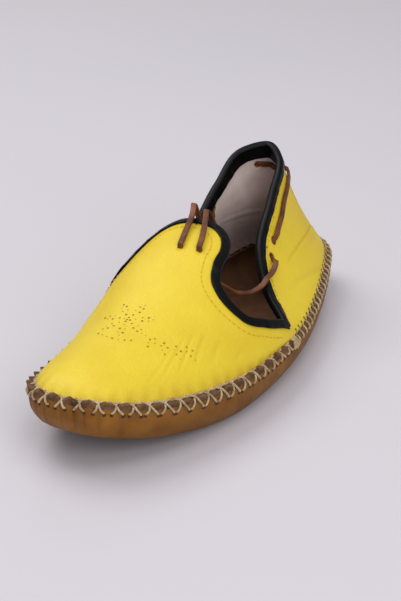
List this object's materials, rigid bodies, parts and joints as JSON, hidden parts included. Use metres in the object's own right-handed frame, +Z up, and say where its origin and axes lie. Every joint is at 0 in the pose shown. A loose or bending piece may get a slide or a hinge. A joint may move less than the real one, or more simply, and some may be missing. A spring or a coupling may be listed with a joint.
{
  "type": "turkish yemeni shoe",
  "caption": "Hand-sewn leather slip-on: cupped hide sole, vamp with a high round tongue, high narrow heel quarter and a thong lace",
  "frame": {"origin": "Under the middle of the shoe's bounding box, on the plane that the sole stands on", "axes": "+Z up, -Y towards the toe, +X towards the outer side of the left foot"},
  "size_m": [0.1014, 0.2578, 0.0876],
  "materials": {
    "sole_hide": "smooth",
    "insole_leather": "matte",
    "upper_leather": "grained",
    "binding_leather": "gloss",
    "lace_leather": "matte"
  },
  "bodies": {
    "root": {"sole": "sole_hide", "insole": "insole_leather", "upper": "upper_leather", "vamp_binding": "binding_leather", "quarter_binding": "binding_leather", "lace": "lace_leather", "lace_end_outer": "lace_leather", "lace_end_inner": "lace_leather"}
  },
  "joints": []
}
